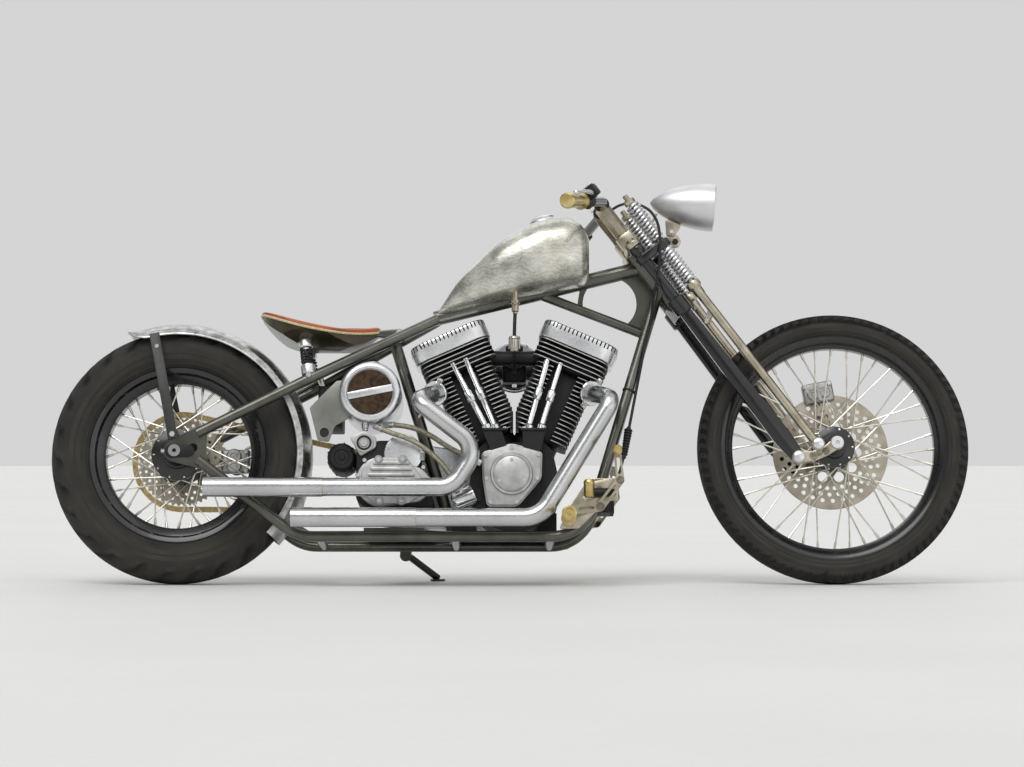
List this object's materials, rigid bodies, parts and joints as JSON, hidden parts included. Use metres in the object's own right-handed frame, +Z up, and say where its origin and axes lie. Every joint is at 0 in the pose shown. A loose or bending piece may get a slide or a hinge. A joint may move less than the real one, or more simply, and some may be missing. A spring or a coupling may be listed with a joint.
{
  "type": "bobber motorcycle",
  "caption": "Hardtail bobber motorcycle with an air-cooled V-twin, springer fork, solo seat and side exhausts, leaning on its side stand.",
  "frame": {"origin": "on the floor under the middle of the parked bike's outline", "axes": "+X to the front of the bike, +Y to the rider's left, +Z up"},
  "size_m": [2.3028, 0.8448, 1.0137],
  "materials": {
    "frame_paint": "olive grey metallic",
    "black_paint": "gloss black",
    "tyre": "matt",
    "stainless": "brushed",
    "bare_aluminium": "satin",
    "black_aluminium": "black",
    "polished_aluminium": "polished",
    "chrome": "bright",
    "nickel": "satin nickel",
    "brass": "brushed",
    "leather": "orange brown",
    "gold_chain": "gold",
    "lens": "clear",
    "hose": "braided"
  },
  "bodies": {
    "rear_wheel": {"rear_tyre": "tyre", "rear_wheel": "black_paint", "rear_spokes": "stainless", "rear_sprocket": "stainless"},
    "front_wheel": {"front_tyre": "tyre", "front_wheel": "black_paint", "front_spokes": "stainless", "front_disc": "stainless"},
    "fork": {"rigid_fork": "black_paint", "top_tree": "nickel", "spring_fork": "nickel", "fork_springs": "chrome", "rockers": "nickel", "handlebar": "black_paint", "grips": "brass", "levers": "polished_aluminium", "headlight_shell": "bare_aluminium", "headlight_lens": "lens", "headlight_bracket": "bare_aluminium", "front_axle": "chrome", "front_caliper": "bare_aluminium"},
    "side_stand": {"side_stand": "black_paint"},
    "frame": {"frame_backbone": "frame_paint", "frame_cradle_right": "frame_paint", "frame_cradle_left": "frame_paint", "frame_stays": "frame_paint", "frame_crossmembers": "frame_paint", "rear_axle": "chrome", "drive_chain": "gold_chain", "rear_caliper": "bare_aluminium", "rear_fender": "bare_aluminium", "seat_pad": "leather", "seat_pan": "bare_aluminium", "seat_mounts": "black_paint", "fuel_tank": "bare_aluminium", "crankcase": "black_aluminium", "cylinders": "black_aluminium", "rocker_boxes": "polished_aluminium", "exhaust_pipes": "stainless", "pushrod_tubes": "chrome", "cam_cover": "bare_aluminium", "intake": "bare_aluminium", "fuel_fittings": "brass", "transmission": "bare_aluminium", "starter": "black_paint", "primary_cover": "polished_aluminium", "oil_tank": "bare_aluminium", "oil_lines": "hose", "electrics": "bare_aluminium", "forward_controls": "bare_aluminium", "control_brass": "brass"}
  },
  "joints": [
    {"name": "rear_wheel_spin", "type": "hinge", "parent": "frame", "child": "rear_wheel", "pos_m": [-0.8315, -0.06649, 0.31765], "axis": [0, 0.9903, -0.1392], "continuous": true},
    {"name": "steering", "type": "hinge", "parent": "frame", "child": "fork", "pos_m": [0.71558, -0.06851, 0.30329], "axis": [-0.6018, 0.1111, 0.7909], "range_deg": [-32, 32]},
    {"name": "front_wheel_spin", "type": "hinge", "parent": "fork", "child": "front_wheel", "pos_m": [0.8105, -0.06361, 0.33817], "axis": [0, 0.9903, -0.1392], "continuous": true},
    {"name": "side_stand_swing", "type": "hinge", "parent": "frame", "child": "side_stand", "pos_m": [-0.2655, 0.04229, 0.07134], "axis": [0.0483, 0.7663, 0.6407], "range_deg": [0, 112]}
  ]
}
